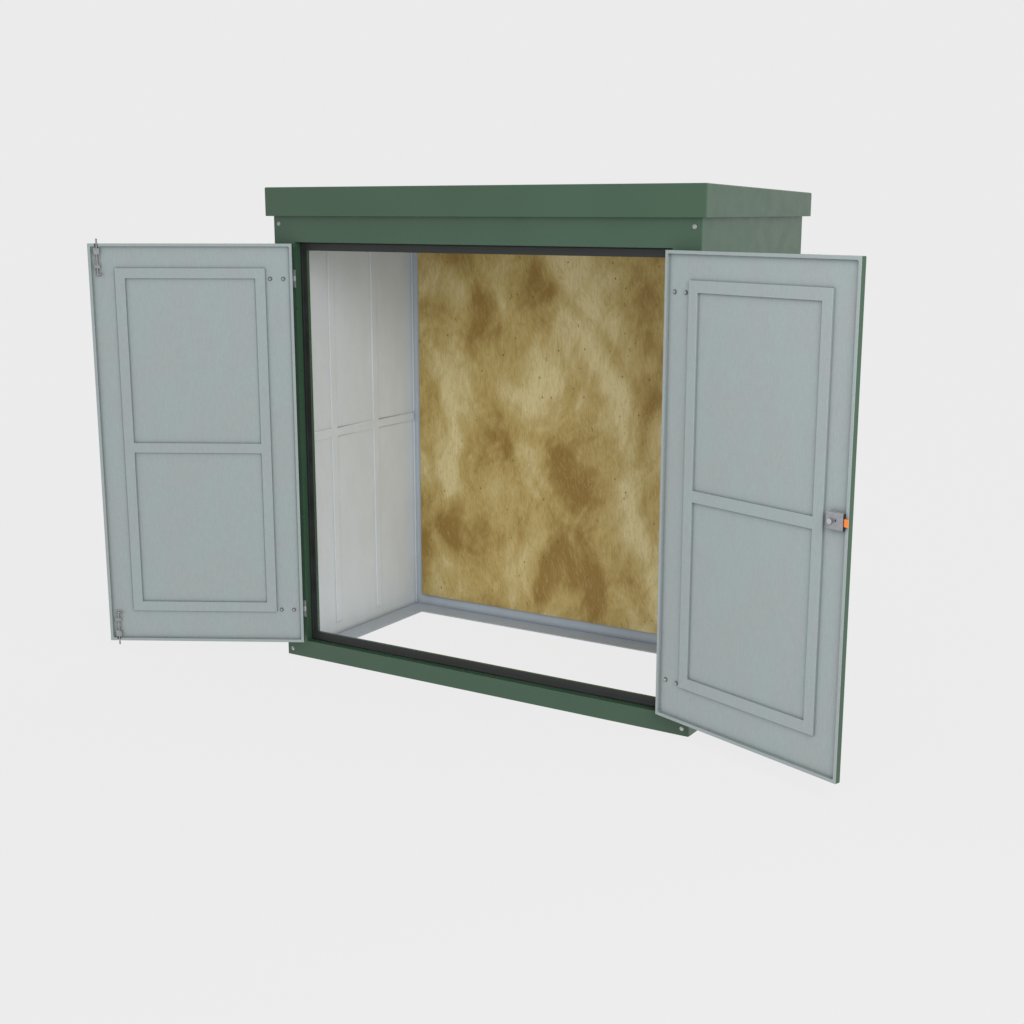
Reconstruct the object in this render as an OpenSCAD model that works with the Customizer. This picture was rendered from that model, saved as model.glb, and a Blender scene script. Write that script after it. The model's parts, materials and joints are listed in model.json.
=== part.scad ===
// Fibreglass walk-in enclosure with two outward-opening doors.
// Millimetres, +Z up, +X to the right along the front, +Y towards the back.
// The origin is the middle of the front sill's underside.

/* [Shell] */
// Width of the walls, outside
shell_w = 2000; // [1600:50:2400]
// Depth of the walls, outside
shell_d = 1000; // [800:50:1400]
// Height of the lid's front edge
front_h = 2075; // [1990:5:2300]
// Fall of the lid from front to back
lid_fall = 25; // [0:5:60]
// Thickness of the glass-reinforced plastic
laminate = 5; // [4:1:8]
// How far the lid stands out past the walls
lid_overhang = 25; // [15:5:50]
// Depth of the lid's skirt below its front edge
skirt_h = 120; // [80:5:160]
// Width of the flange under the walls
base_flange_w = 122; // [60:1:150]

/* [Front frame] */
// Depth of the front frame
frame_d = 50; // [45:1:70]
// Width of each jamb, seen from the front
jamb_w = 115; // [100:1:140]
// Height of the sill
sill_h = 78; // [70:1:120]
// Height of the header's underside
head_z = 1846; // [1700:1:1900]
// Depth of the recess that the doors close into
rebate_d = 34; // [33:1:38]
// Width of the land behind the doors, which carries the seal
land_w = 35; // [30:1:40]
// Thickness of the rubber seal
seal_t = 3; // [2:0.5:4]
// Distance of each corner bolt from the frame's side
bolt_in = 29; // [20:1:40]

/* [Doors] */
// Gap round each door
door_gap = 5; // [4:0.5:8]
// Thickness of a door over its rim
door_t = 24; // [22:1:30]
// Width of the rim round a door's inside
rim_w = 12; // [10:1:20]
// Depth of the tray inside the rim
tray_d = 12; // [8:1:14]
// Width of the stiffening ribs
rib_w = 43.5; // [30:0.5:60]
// Height of the ribs above the tray
rib_h = 9; // [4:1:9]
// How far the left door stands open
left_open = 150.3; // [0:0.1:175]
// How far the right door stands open
right_open = 160.1; // [0:0.1:175]

/* [Fittings] */
// Height of the lower hinge's middle
low_hinge_z = 231; // [150:1:300]
// Height of the upper hinge's middle
high_hinge_z = 1693.5; // [1500:0.5:1720]
// Length of a hinge's barrel
hinge_h = 76; // [50:1:100]
// Diameter of a hinge's pin
pin_d = 6; // [5:1:8]
// Height of the lock's middle
lock_z = 986; // [900:1:1100]
// Travel of the tower bolts
bolt_throw = 26; // [20:1:30]

/* [Inside] */
// Thickness of the plywood backboard
board_t = 18; // [12:1:25]
// Width of the backboard
board_w = 1890; // [1400:10:1900]
// Height of the backboard's lower edge
board_z = 60; // [20:5:100]
// Height of the backboard
board_h = 1880; // [1400:10:1900]
// Width of the ribs on the side walls
wall_rib_w = 44; // [30:1:60]
// Height of the ribs off the side walls
wall_rib_h = 6; // [4:1:30]

/* [Hidden] */
$fn = 48;
eps = 1;

green = [0.25, 0.36, 0.27];
grey = [0.66, 0.69, 0.69];
black = [0.10, 0.10, 0.10];
steel = [0.70, 0.70, 0.72];
plywood = [0.66, 0.54, 0.32];
orange = [0.93, 0.52, 0.18];

half_w = shell_w / 2;
front_y = -frame_d / 2;
back_y = front_y + shell_d;
wall_y = front_y + frame_d;
land_y = front_y + rebate_d;
opening_x = half_w - jamb_w;
clear_x = opening_x - land_w;
clear_low = sill_h + land_w + 5;
clear_high = head_z - land_w;
inner_x = half_w - laminate;
inner_y = back_y - laminate;
skirt_low = front_h - skirt_h;
bolt_low = 28;
bolt_high = skirt_low - 32;

// Hinge pins stand just proud of the front frame.
pin_x = opening_x - 0.6;
pin_y = front_y - 8;
barrel_r = 7;
leaf_t = 3.5;
leaf_l = 112;
leaf_h = 60;
leaf_in = 14;
pin_fit = 0.06;
knuckle_gap = 0.4;
door_y = front_y + 2;
leaf_bolts = [42, 98];

// A door in its own frame: x from its hinge edge, y from its outer face.
door_w = opening_x - 2 * door_gap;
door_low = sill_h + door_gap;
door_high = head_z - door_gap;
skin_t = laminate;
floor_y = door_t - tray_d;
rib_in = 110;
rib_side = 118;
rib_low = 222;
rib_high = 1738;
mid_rib_z = 961.5;

// Tower bolts near the left door's free edge.
tower_x = door_w - 38;
tower_y = door_t - 6;
rod_d = 8;
rod_out = bolt_throw - door_gap;
rod_l = 135;
keep_d = 14;
keep_l = bolt_throw + 4;
plate_l = 120;
plate_w = 26;
plate_start = 20;

// Rim lock near the right door's free edge.
case_w = 72;
case_h = 58;
case_t = 22;
case_from_edge = 15;
case_x = door_w - case_from_edge - case_w;
knob_x = door_w - 61;
latch_out = 4;
latch_in = 28;
latch_h = 26;
latch_t = 7;
latch_fit = 0.5;
latch_spring = 14;
faceplate_t = 2.5;
latch_y = door_t + 1;

// Height of the lid's upper face at a depth y.
function lid_z(y) = front_h - lid_fall * (y - front_y + lid_overhang) / (shell_d + 2 * lid_overhang);

// Height of the lid's underside, which rests on the walls.
function wall_top(y) = lid_z(y) - laminate;

module block(low, high) {
    translate(low)
        cube(high - low);
}

// An outline of [y, z] points drawn out along X from x0 to x1.
module along_x(x0, x1, points) {
    translate([x0, 0, 0])
        rotate([90, 0, 90])
            linear_extrude(height = x1 - x0)
                polygon(points);
}

module mirror_x() {
    mirror([1, 0, 0])
        children();
}

// ---- Front frame ----

module front_sill() {
    color(green)
        difference() {
            union() {
                block([-half_w, front_y, 0], [half_w, land_y, sill_h]);
                block([-half_w, land_y, 0], [half_w, wall_y, clear_low]);
            }
            translate([-door_edge_x(tower_x), door_y + tower_y, sill_h - keep_l])
                cylinder(h = keep_l + eps, d = keep_d);
        }
}

module front_header() {
    color(green)
        difference() {
            along_x(-half_w, half_w, [
                [front_y, head_z],
                [land_y, head_z],
                [land_y, clear_high],
                [wall_y, clear_high],
                [wall_y, wall_top(wall_y)],
                [front_y, wall_top(front_y)]
            ]);
            translate([-door_edge_x(tower_x), door_y + tower_y, head_z - eps])
                cylinder(h = keep_l + eps, d = keep_d);
        }
}

// Distance from the middle plane of a point x along a closed door.
function door_edge_x(x) = opening_x - door_gap - x;

module front_jamb() {
    block([-half_w, front_y, sill_h], [-opening_x, land_y, head_z]);
    block([-half_w, land_y, clear_low], [-clear_x, wall_y, clear_high]);
}

module left_front_jamb() {
    color(green)
        front_jamb();
}

module right_front_jamb() {
    color(green)
        mirror_x()
            front_jamb();
}

module door_seal() {
    color(black)
        difference() {
            block([-opening_x, land_y - seal_t, sill_h], [opening_x, land_y, head_z]);
            block([-clear_x, land_y - seal_t - eps, clear_low], [clear_x, land_y + eps, clear_high]);
        }
}

module frame_corner_bolts() {
    color(steel)
        for (x = [bolt_in - half_w, half_w - bolt_in], z = [bolt_low, bolt_high])
            translate([x, front_y, z])
                rotate([90, 0, 0])
                    cylinder(h = 4, d1 = 15, d2 = 9);
}

// ---- Walls, base and lid ----

module side_wall() {
    along_x(-half_w, -inner_x, [
        [wall_y, 0],
        [back_y, 0],
        [back_y, wall_top(back_y)],
        [wall_y, wall_top(wall_y)]
    ]);
}

module left_wall() {
    color(green)
        side_wall();
}

module right_wall() {
    color(green)
        mirror_x()
            side_wall();
}

module rear_wall() {
    color(green)
        along_x(-inner_x, inner_x, [
            [inner_y, 0],
            [back_y, 0],
            [back_y, wall_top(back_y)],
            [inner_y, wall_top(inner_y)]
        ]);
}

// Two uprights and a rail, moulded on the inside of a side wall.
module side_wall_ribs() {
    rib_x = wall_rib_h - inner_x;
    bay = (inner_y - wall_y) / 3;
    rail_z = 971;
    top = skirt_low + 30;
    for (i = [1, 2])
        block([-inner_x, wall_y + i * bay - wall_rib_w / 2, board_z],
              [rib_x, wall_y + i * bay + wall_rib_w / 2, top]);
    block([-inner_x, wall_y, rail_z - wall_rib_w / 2], [rib_x, inner_y, rail_z + wall_rib_w / 2]);
}

module left_wall_ribs() {
    color(grey)
        side_wall_ribs();
}

module right_wall_ribs() {
    color(grey)
        mirror_x()
            side_wall_ribs();
}

module side_base_flange() {
    block([-inner_x, wall_y, 0], [base_flange_w - half_w, inner_y, laminate]);
}

module left_base_flange() {
    color(grey)
        side_base_flange();
}

module right_base_flange() {
    color(grey)
        mirror_x()
            side_base_flange();
}

module rear_base_flange() {
    reach = half_w - base_flange_w;
    color(grey)
        block([-reach, back_y - base_flange_w, 0], [reach, inner_y, laminate]);
}

module backboard() {
    color(plywood)
        block([-board_w / 2, inner_y - board_t, board_z], [board_w / 2, inner_y, board_z + board_h]);
}

// One moulding: a sloping top with a skirt all round, open underneath.
module lid() {
    lid_x = half_w + lid_overhang;
    y0 = front_y - lid_overhang;
    y1 = back_y + lid_overhang;
    color(green)
        difference() {
            along_x(-lid_x, lid_x, [
                [y0, skirt_low],
                [y1, skirt_low],
                [y1, lid_z(y1)],
                [y0, lid_z(y0)]
            ]);
            along_x(laminate - lid_x, lid_x - laminate, [
                [y0 + laminate, skirt_low - eps],
                [y1 - laminate, skirt_low - eps],
                [y1 - laminate, wall_top(y1 - laminate)],
                [y0 + laminate, wall_top(y0 + laminate)]
            ]);
        }
}

// ---- Hinges ----

// The knuckle at the middle of a barrel belongs to the door, the two at its ends to the frame.
module knuckle(low, high) {
    translate([0, 0, low])
        cylinder(h = high - low, r = barrel_r);
}

module hinge_frame_leaf(z) {
    middle = hinge_h / 6;
    translate([-pin_x, pin_y, z]) {
        difference() {
            union() {
                knuckle(-hinge_h / 2, -middle - knuckle_gap);
                knuckle(middle + knuckle_gap, hinge_h / 2);
                block([pin_x - half_w + leaf_in, front_y - pin_y - leaf_t, -hinge_h / 2],
                      [0, front_y - pin_y, hinge_h / 2]);
            }
            translate([0, 0, -middle - knuckle_gap])
                cylinder(h = 2 * (middle + knuckle_gap), r = barrel_r + 1);
        }
        cylinder(h = hinge_h, d = pin_d, center = true);
    }
}

module left_upper_hinge_frame_leaf() {
    color(steel)
        hinge_frame_leaf(high_hinge_z);
}

module left_lower_hinge_frame_leaf() {
    color(steel)
        hinge_frame_leaf(low_hinge_z);
}

module right_upper_hinge_frame_leaf() {
    color(steel)
        mirror_x()
            hinge_frame_leaf(high_hinge_z);
}

module right_lower_hinge_frame_leaf() {
    color(steel)
        mirror_x()
            hinge_frame_leaf(low_hinge_z);
}

// ---- Doors, each in its own frame and swung about its pins ----

module swung(angle) {
    translate([-pin_x, pin_y, 0])
        rotate([0, 0, -angle])
            translate([pin_x - opening_x + door_gap, door_y - pin_y, 0])
                children();
}

module left_door() {
    swung(left_open)
        children();
}

module right_door() {
    mirror_x()
        swung(right_open)
            children();
}

// The green moulding: a shallow tray, open towards the inside.
module door_skin() {
    difference() {
        block([0, 0, door_low], [door_w, door_t - 1, door_high]);
        block([skin_t, skin_t, door_low + skin_t], [door_w - skin_t, door_t, door_high - skin_t]);
    }
}

// The grey moulding that fills the skin: a flat floor inside a raised rim.
module door_lining() {
    difference() {
        union() {
            block([skin_t, skin_t, door_low + skin_t], [door_w - skin_t, door_t, door_high - skin_t]);
            block([0, door_t - 1, door_low], [door_w, door_t, door_high]);
        }
        block([rim_w, floor_y, door_low + rim_w], [door_w - rim_w, door_t + eps, door_high - rim_w]);
    }
}

// Notches in the rim of the left door let the tower bolts through.
module rod_notches() {
    for (z = [door_low - eps, door_high - rim_w - eps])
        translate([tower_x - rod_d, tower_y - rod_d / 2 - 2, z])
            cube([2 * rod_d, door_t, rim_w + 2 * eps]);
}

module door_ribs() {
    x0 = rib_side;
    x1 = door_w - rib_in;
    difference() {
        block([x0, floor_y, rib_low], [x1, floor_y + rib_h, rib_high]);
        block([x0 + rib_w, floor_y - eps, rib_low + rib_w], [x1 - rib_w, door_t, mid_rib_z - rib_w / 2]);
        block([x0 + rib_w, floor_y - eps, mid_rib_z + rib_w / 2], [x1 - rib_w, door_t, rib_high - rib_w]);
    }
}

module hinge_door_leaf(z) {
    middle = hinge_h / 6 - knuckle_gap;
    to_pin = [pin_x - opening_x + door_gap, door_y - pin_y, 0];
    translate([0, 0, z])
        difference() {
            union() {
                translate(-to_pin)
                    knuckle(-middle, middle);
                block([-to_pin[0], -leaf_t, -middle], [2, 0, middle]);
                block([1, -leaf_t, -leaf_h / 2], [leaf_l, 0, leaf_h / 2]);
            }
            translate(-to_pin)
                cylinder(h = hinge_h, d = pin_d + 2 * pin_fit, center = true);
        }
}

// The nuts of the bolts that hold the hinges, inside the door.
module hinge_bolts() {
    for (x = leaf_bolts, z = [low_hinge_z, high_hinge_z])
        translate([x, floor_y, z])
            rotate([-90, 0, 0]) {
                cylinder(h = 1.5, d = 18);
                cylinder(h = 6.5, d = 13, $fn = 6);
            }
}

module left_door_skin() {
    color(green)
        left_door()
            difference() {
                door_skin();
                rod_notches();
            }
}

module left_door_lining() {
    color(grey)
        left_door()
            difference() {
                door_lining();
                rod_notches();
            }
}

module left_door_ribs() {
    color(grey)
        left_door()
            door_ribs();
}

module left_upper_hinge_door_leaf() {
    color(steel)
        left_door()
            hinge_door_leaf(high_hinge_z);
}

module left_lower_hinge_door_leaf() {
    color(steel)
        left_door()
            hinge_door_leaf(low_hinge_z);
}

module left_hinge_bolts() {
    color(steel)
        left_door()
            hinge_bolts();
}

module right_door_skin() {
    color(green)
        right_door()
            door_skin();
}

module right_door_lining() {
    color(grey)
        right_door()
            door_lining();
}

module right_door_ribs() {
    color(grey)
        right_door()
            door_ribs();
}

module right_upper_hinge_door_leaf() {
    color(steel)
        right_door()
            hinge_door_leaf(high_hinge_z);
}

module right_lower_hinge_door_leaf() {
    color(steel)
        right_door()
            hinge_door_leaf(low_hinge_z);
}

module right_hinge_bolts() {
    color(steel)
        right_door()
            hinge_bolts();
}

// ---- Tower bolts, drawn for the upper one with z from the door's edge downwards ----

module at_top() {
    translate([tower_x, floor_y, door_high])
        children();
}

module at_bottom() {
    translate([tower_x, floor_y, door_low])
        mirror([0, 0, 1])
            children();
}

rod_y = tower_y - floor_y;

module tower_bolt_plate() {
    guide_w = 24;
    guide_l = 26;
    guide_top = rod_y + 7;
    inner_start = 70;
    inner_l = 14;
    metal = 1.5;
    difference() {
        union() {
            block([-plate_w / 2, 0, -plate_start - plate_l], [plate_w / 2, metal, -plate_start]);
            block([-guide_w / 2, 1, -plate_start - guide_l], [guide_w / 2, guide_top, -plate_start]);
            block([-guide_w / 2, 1, -plate_start - inner_start - inner_l],
                  [guide_w / 2, guide_top, -plate_start - inner_start]);
        }
        translate([0, rod_y, -plate_start - plate_l])
            cylinder(h = plate_l + eps, d = rod_d + 0.2);
    }
}

// A rod with a turned handle that leans towards the hinges.
module tower_bolt_rod() {
    tail = 20;
    lean = 25;
    handle_l = 26;
    handle_d = 7;
    translate([0, rod_y, rod_out - rod_l - tail])
        cylinder(h = rod_l + tail, d = rod_d);
    translate([0, rod_y, rod_out - rod_l - tail + rod_d / 2])
        rotate([-90, 0, 0])
            rotate([0, lean - 90, 0])
                cylinder(h = handle_l, d = handle_d);
}

module upper_tower_bolt_plate() {
    color(steel)
        left_door()
            at_top()
                tower_bolt_plate();
}

module lower_tower_bolt_plate() {
    color(steel)
        left_door()
            at_bottom()
                tower_bolt_plate();
}

module upper_tower_bolt_rod() {
    color(steel)
        left_door()
            at_top()
                tower_bolt_rod();
}

module lower_tower_bolt_rod() {
    color(steel)
        left_door()
            at_bottom()
                tower_bolt_rod();
}

// ---- Rim lock on the right door ----

// The slot that the latch slides in, from x0 to x1.
module latch_way(x0, x1) {
    block([x0, latch_y - latch_fit, lock_z - latch_h / 2 - latch_fit],
          [x1, latch_y + latch_t + latch_fit, lock_z + latch_h / 2 + latch_fit]);
}

module lock_case() {
    pocket_x = case_x + case_w - latch_in - latch_spring;
    color(steel)
        right_door()
            difference() {
                block([case_x, floor_y, lock_z - case_h / 2],
                      [case_x + case_w, floor_y + case_t, lock_z + case_h / 2]);
                latch_way(pocket_x, case_x + case_w + eps);
            }
}

module lock_faceplate() {
    x0 = case_x + case_w;
    color(black)
        right_door()
            difference() {
                block([x0, floor_y, lock_z - case_h / 2],
                      [x0 + faceplate_t, floor_y + case_t, lock_z + case_h / 2]);
                latch_way(x0 - eps, x0 + faceplate_t + eps);
            }
}

// The keyed cylinder, on the outside of the door.
module lock_cylinder() {
    color(steel)
        right_door()
            translate([knob_x, 0, lock_z])
                rotate([90, 0, 0]) {
                    cylinder(h = 3, d = 34);
                    cylinder(h = 6, d = 22);
                }
}

module lock_knob() {
    color(steel)
        right_door()
            translate([knob_x, floor_y + case_t + 0.5, lock_z])
                rotate([-90, 0, 0]) {
                    cylinder(h = 6, d = 13);
                    translate([0, 0, 5])
                        cylinder(h = 10, d = 21);
                }
}

module lock_latch() {
    color(orange)
        right_door()
            block([case_x + case_w - latch_in, latch_y, lock_z - latch_h / 2],
                  [door_w + latch_out, latch_y + latch_t, lock_z + latch_h / 2]);
}

front_sill();
front_header();
left_front_jamb();
right_front_jamb();
door_seal();
left_wall();
right_wall();
rear_wall();
left_wall_ribs();
right_wall_ribs();
left_base_flange();
right_base_flange();
rear_base_flange();
backboard();
lid();
frame_corner_bolts();
left_upper_hinge_frame_leaf();
left_lower_hinge_frame_leaf();
right_upper_hinge_frame_leaf();
right_lower_hinge_frame_leaf();
left_door_skin();
left_door_lining();
left_door_ribs();
left_upper_hinge_door_leaf();
left_lower_hinge_door_leaf();
left_hinge_bolts();
upper_tower_bolt_plate();
lower_tower_bolt_plate();
upper_tower_bolt_rod();
lower_tower_bolt_rod();
right_door_skin();
right_door_lining();
right_door_ribs();
right_upper_hinge_door_leaf();
right_lower_hinge_door_leaf();
right_hinge_bolts();
lock_case();
lock_faceplate();
lock_cylinder();
lock_knob();
lock_latch();
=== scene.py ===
"""Looks of a glass-reinforced plastic walk-in enclosure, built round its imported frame.

The mouldings are rounded, two-coloured shells that stand for the frame's plain solids, and the
fittings (hinges, tower bolts, rim lock, corner bolts) are modelled piece by piece. Every size
comes from the frame's own boxes or from a field of the class that makes the piece.
"""

import json
import logging
import math
from collections.abc import Callable, Iterable, Sequence
from dataclasses import dataclass
from enum import Enum

import bmesh
import bpy
from bmesh.types import BMEdge, BMFace, BMVert
from bpy.types import Material, Node, NodeSocket
from mathutils import Matrix, Vector


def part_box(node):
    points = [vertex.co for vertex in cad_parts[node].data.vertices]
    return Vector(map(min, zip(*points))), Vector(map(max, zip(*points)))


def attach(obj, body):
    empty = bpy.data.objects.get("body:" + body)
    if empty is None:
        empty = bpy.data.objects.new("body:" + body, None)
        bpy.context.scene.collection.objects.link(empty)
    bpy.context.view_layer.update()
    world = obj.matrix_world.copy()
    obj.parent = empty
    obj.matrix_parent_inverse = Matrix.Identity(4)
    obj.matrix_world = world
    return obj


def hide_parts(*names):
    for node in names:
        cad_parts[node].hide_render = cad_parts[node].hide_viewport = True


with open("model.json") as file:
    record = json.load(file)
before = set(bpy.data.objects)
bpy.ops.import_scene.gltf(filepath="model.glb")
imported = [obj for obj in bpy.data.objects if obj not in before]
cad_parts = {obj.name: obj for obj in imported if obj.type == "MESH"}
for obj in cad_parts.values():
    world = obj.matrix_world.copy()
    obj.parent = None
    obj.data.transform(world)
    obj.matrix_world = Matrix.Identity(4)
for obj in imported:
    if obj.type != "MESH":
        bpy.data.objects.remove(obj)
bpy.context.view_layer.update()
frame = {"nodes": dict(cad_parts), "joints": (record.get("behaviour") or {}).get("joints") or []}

log = logging.getLogger("enclosure")
Point = tuple[float, float, float]
Colour = tuple[float, float, float]
Pair = tuple[float, float]
MM = 0.001
WELD = 1e-5
FLAT = math.radians(0.6)
SHARP = math.radians(25)
CREASE = math.radians(38)


class Hand(Enum):
    """Which of the two doors a piece belongs to."""

    LEFT = "left"
    RIGHT = "right"

    @property
    def sign(self) -> int:
        """The side of the middle plane: -1 for the left, 1 for the right."""
        return -1 if self is Hand.LEFT else 1


class Level(Enum):
    """Which of a door's two hinges or bolts a piece is."""

    LOWER = "lower"
    UPPER = "upper"


class ScrewHead(Enum):
    """The section of each kind of screw head, as radius and height in millimetres."""

    HINGE = ((0, -1), (4.2, -1), (4.2, 0.1), (3.2, 0.7), (1.5, 0.95), (1.5, -0.2), (0, -0.2))
    BOLT = ((0, 0), (3.6, 0), (3.4, 0.9), (2.2, 1.5), (1.1, 1.6), (1.1, 0.7), (0, 0.7))
    CASE = ((0, -0.5), (3.6, -0.5), (3.5, 0.7), (2.4, 1.4), (1.2, 1.5), (1.2, 0.5), (0, 0.5))
    STRIP = ((0, -0.4), (3, -0.4), (3, 0.1), (2, 0.5), (0.9, 0.6), (0.9, 0), (0, 0))


# ---- Working in metal and resin: the mesh builder ----


class Shape:
    """A mesh under construction, in metres, made of operator-built parts."""

    def __init__(self) -> None:
        """Starts with nothing in it."""
        self.bm = bmesh.new()

    @classmethod
    def of_node(cls, node: str, place: Matrix | None = None) -> "Shape":
        """Copies a frame node, welds its triangles and makes its flat faces whole.

        Args:
            node: the node's name.
            place: the frame to work on the copy in, if not the object's own.

        Returns:
            The copy.
        """
        shape = cls()
        bm = shape.bm
        bm.from_mesh(frame["nodes"][node].data)
        bmesh.ops.remove_doubles(bm, verts=bm.verts, dist=WELD)
        bmesh.ops.dissolve_limit(bm, angle_limit=FLAT, verts=bm.verts, edges=bm.edges)
        return shape.move(place.inverted()) if place is not None else shape

    def move(self, place: Matrix) -> "Shape":
        """Moves everything by a matrix, and keeps the faces pointing outwards if it mirrors.

        Args:
            place: the matrix.

        Returns:
            This shape.
        """
        bmesh.ops.transform(self.bm, matrix=place, verts=self.bm.verts)
        if place.determinant() < 0:
            bmesh.ops.reverse_faces(self.bm, faces=self.bm.faces)
        return self

    def add(self, part: "Shape", place: Matrix | None = None) -> "Shape":
        """Joins another shape on, which is used up.

        Args:
            part: the other shape.
            place: where it goes, if not where it was made.

        Returns:
            This shape.
        """
        if place is not None:
            part.move(place)
        mesh = bpy.data.meshes.new("part")
        part.bm.to_mesh(mesh)
        part.bm.free()
        self.bm.from_mesh(mesh)
        bpy.data.meshes.remove(mesh)
        return self

    def block(self, low: Point, high: Point, radius: float = 0.0) -> "Shape":
        """Adds a box.

        Args:
            low: its lowest corner.
            high: its highest corner.
            radius: how round its edges are.

        Returns:
            This shape.
        """
        part = Shape()
        a, b = Vector(low), Vector(high)
        bmesh.ops.create_cube(part.bm, size=1.0)
        bmesh.ops.scale(part.bm, vec=b - a, verts=part.bm.verts)
        bmesh.ops.translate(part.bm, vec=(a + b) / 2, verts=part.bm.verts)
        if radius:
            part.soften(radius)
        return self.add(part)

    def plate(self, low: Point, high: Point, corner: float, edge: float) -> "Shape":
        """Adds a plate with round corners and soft edges, as thick as its box is deep.

        Args:
            low: its lowest corner.
            high: its highest corner.
            corner: the radius of its four corners.
            edge: the radius of its edges.

        Returns:
            This shape.
        """
        part = Shape().block(low, high)
        part.soften(corner, 5, lambda e, m: parallel(e, 1))
        return self.add(part.soften(edge))

    def turned(self, profile: Sequence[Pair], place: Matrix, steps: int = 32,
               flutes: float = 0.0) -> "Shape":
        """Adds a turned shape, spun from half a section.

        Args:
            profile: the radius and height of each point of the section.
            place: where the axis's foot goes, with local Z along the axis.
            steps: how many sides it has.
            flutes: how far every second side of its widest part is cut in.

        Returns:
            This shape.
        """
        part = Shape()
        bm = part.bm
        row = [bm.verts.new((r, 0.0, h)) for r, h in profile]
        edges = [bm.edges.new(pair) for pair in zip(row, row[1:])]
        bmesh.ops.spin(bm, geom=row + edges, cent=(0, 0, 0), axis=(0, 0, 1), angle=math.tau,
                       steps=steps, use_merge=True)
        bmesh.ops.remove_doubles(bm, verts=bm.verts, dist=WELD / 10)
        bmesh.ops.recalc_face_normals(bm, faces=bm.faces)
        widest = max(r for r, _ in profile)
        for v in bm.verts if flutes else ():
            side = round(math.atan2(v.co.y, v.co.x) / math.tau * steps)
            if side % 2 and math.hypot(v.co.x, v.co.y) > 0.93 * widest:
                v.co.xy *= 1 - flutes / widest
        return self.add(part, place)

    def screw(self, head: ScrewHead, place: Matrix, steps: int = 20) -> "Shape":
        """Adds a screw head of so many sides, with its axis along local Z."""
        return self.turned([(r * MM, h * MM) for r, h in head.value], place, steps)

    def outline(self, points: Sequence[Point]) -> list[BMEdge]:
        """Adds a closed line through points, and returns its edges."""
        verts = [self.bm.verts.new(p) for p in points]
        return [self.bm.edges.new(pair) for pair in zip(verts, verts[1:] + verts[:1])]

    def ring(self, loops: Sequence[Sequence[Point]]) -> "Shape":
        """Adds a ring-shaped solid: an outline drawn to the next, and so on round to the first.

        Args:
            loops: the outlines' points, with as many in each.

        Returns:
            This shape.
        """
        part = Shape()
        edges = part.outline(loops[0])
        for near, far in zip(loops, [*loops[1:], loops[0]]):
            made = bmesh.ops.extrude_edge_only(part.bm, edges=edges)["geom"]
            moved = only(BMVert, made)
            edges = [e for e in only(BMEdge, made) if all(v in moved for v in e.verts)]
            for v in moved:
                nearest = min(range(len(near)), key=lambda i: (Vector(near[i]) - v.co).length)
                v.co = far[nearest]
        bmesh.ops.remove_doubles(part.bm, verts=part.bm.verts, dist=WELD)
        bmesh.ops.recalc_face_normals(part.bm, faces=part.bm.faces)
        return self.add(part)

    def drawn(self, points: Sequence[Point], along: Point) -> "Shape":
        """Adds a solid: a flat outline drawn out.

        Args:
            points: the outline.
            along: how far and in which direction.

        Returns:
            This shape.
        """
        part = Shape()
        face = bmesh.ops.edgeloop_fill(part.bm, edges=part.outline(points))["faces"]
        made = bmesh.ops.extrude_face_region(part.bm, geom=face, use_keep_orig=True)["geom"]
        bmesh.ops.translate(part.bm, vec=along, verts=only(BMVert, made))
        bmesh.ops.recalc_face_normals(part.bm, faces=part.bm.faces)
        return self.add(part)

    def soften(self, radius: float, segments: int = 2,
               pick: Callable[[BMEdge, Vector], bool] = lambda e, m: True) -> "Shape":
        """Rounds sharp edges.

        Args:
            radius: how far back from the edge the rounding starts.
            segments: how many steps it has.
            pick: the test that picks a sharp edge, from the edge and its middle.

        Returns:
            This shape.
        """
        self.bm.normal_update()
        edges = [e for e in self.bm.edges if len(e.link_faces) == 2
                 and e.calc_face_angle(0.0) > SHARP and pick(e, (e.verts[0].co + e.verts[1].co) / 2)]
        bmesh.ops.bevel(self.bm, geom=edges, offset=radius, offset_type="OFFSET", segments=segments,
                        profile=0.5, affect="EDGES", material=-1, clamp_overlap=True)
        return self

    def drill(self, centre: Point, into: Point, radius: float, depth: float) -> "Shape":
        """Sinks a round hole into the flat face that a point lies on.

        Args:
            centre: the middle of the hole's mouth.
            into: the direction in which the hole goes down.
            radius: the hole's radius.
            depth: its depth.

        Returns:
            This shape.
        """
        bm, mouth, way = self.bm, Vector(centre), Vector(into)
        bm.normal_update()
        flat = [f for f in bm.faces if f.normal.dot(way) < -0.99
                and abs((f.calc_center_median() - mouth).dot(way)) < WELD]
        face = min(flat, key=lambda f: (f.calc_center_median() - mouth).length)
        border, slot = face.edges[:], face.material_index
        bmesh.ops.delete(bm, geom=[face], context="FACES_ONLY")
        made = bmesh.ops.create_circle(bm, segments=24, radius=radius, matrix=facing(mouth, way))
        rim = list({e for v in made["verts"] for e in v.link_edges})
        fill = bmesh.ops.triangle_fill(bm, use_beauty=True, edges=border + rim, normal=-way)["geom"]
        wall = bmesh.ops.extrude_edge_only(bm, edges=rim)["geom"]
        foot = only(BMVert, wall)
        bmesh.ops.translate(bm, vec=way * depth, verts=foot)
        ends = [e for e in only(BMEdge, wall) if all(v in foot for v in e.verts)]
        fill += bmesh.ops.edgeloop_fill(bm, edges=ends)["faces"] + wall
        for f in only(BMFace, fill):
            f.material_index = slot
        bmesh.ops.recalc_face_normals(bm, faces=bm.faces)
        return self

    def coat(self, index: int, where: Callable[[BMFace, Vector], bool]) -> "Shape":
        """Gives another of the piece's finishes to some faces.

        Args:
            index: which finish.
            where: the test that picks a face, from the face and its middle.

        Returns:
            This shape.
        """
        self.bm.normal_update()
        for f in self.bm.faces:
            if where(f, f.calc_center_median()):
                f.material_index = index
        return self

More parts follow.
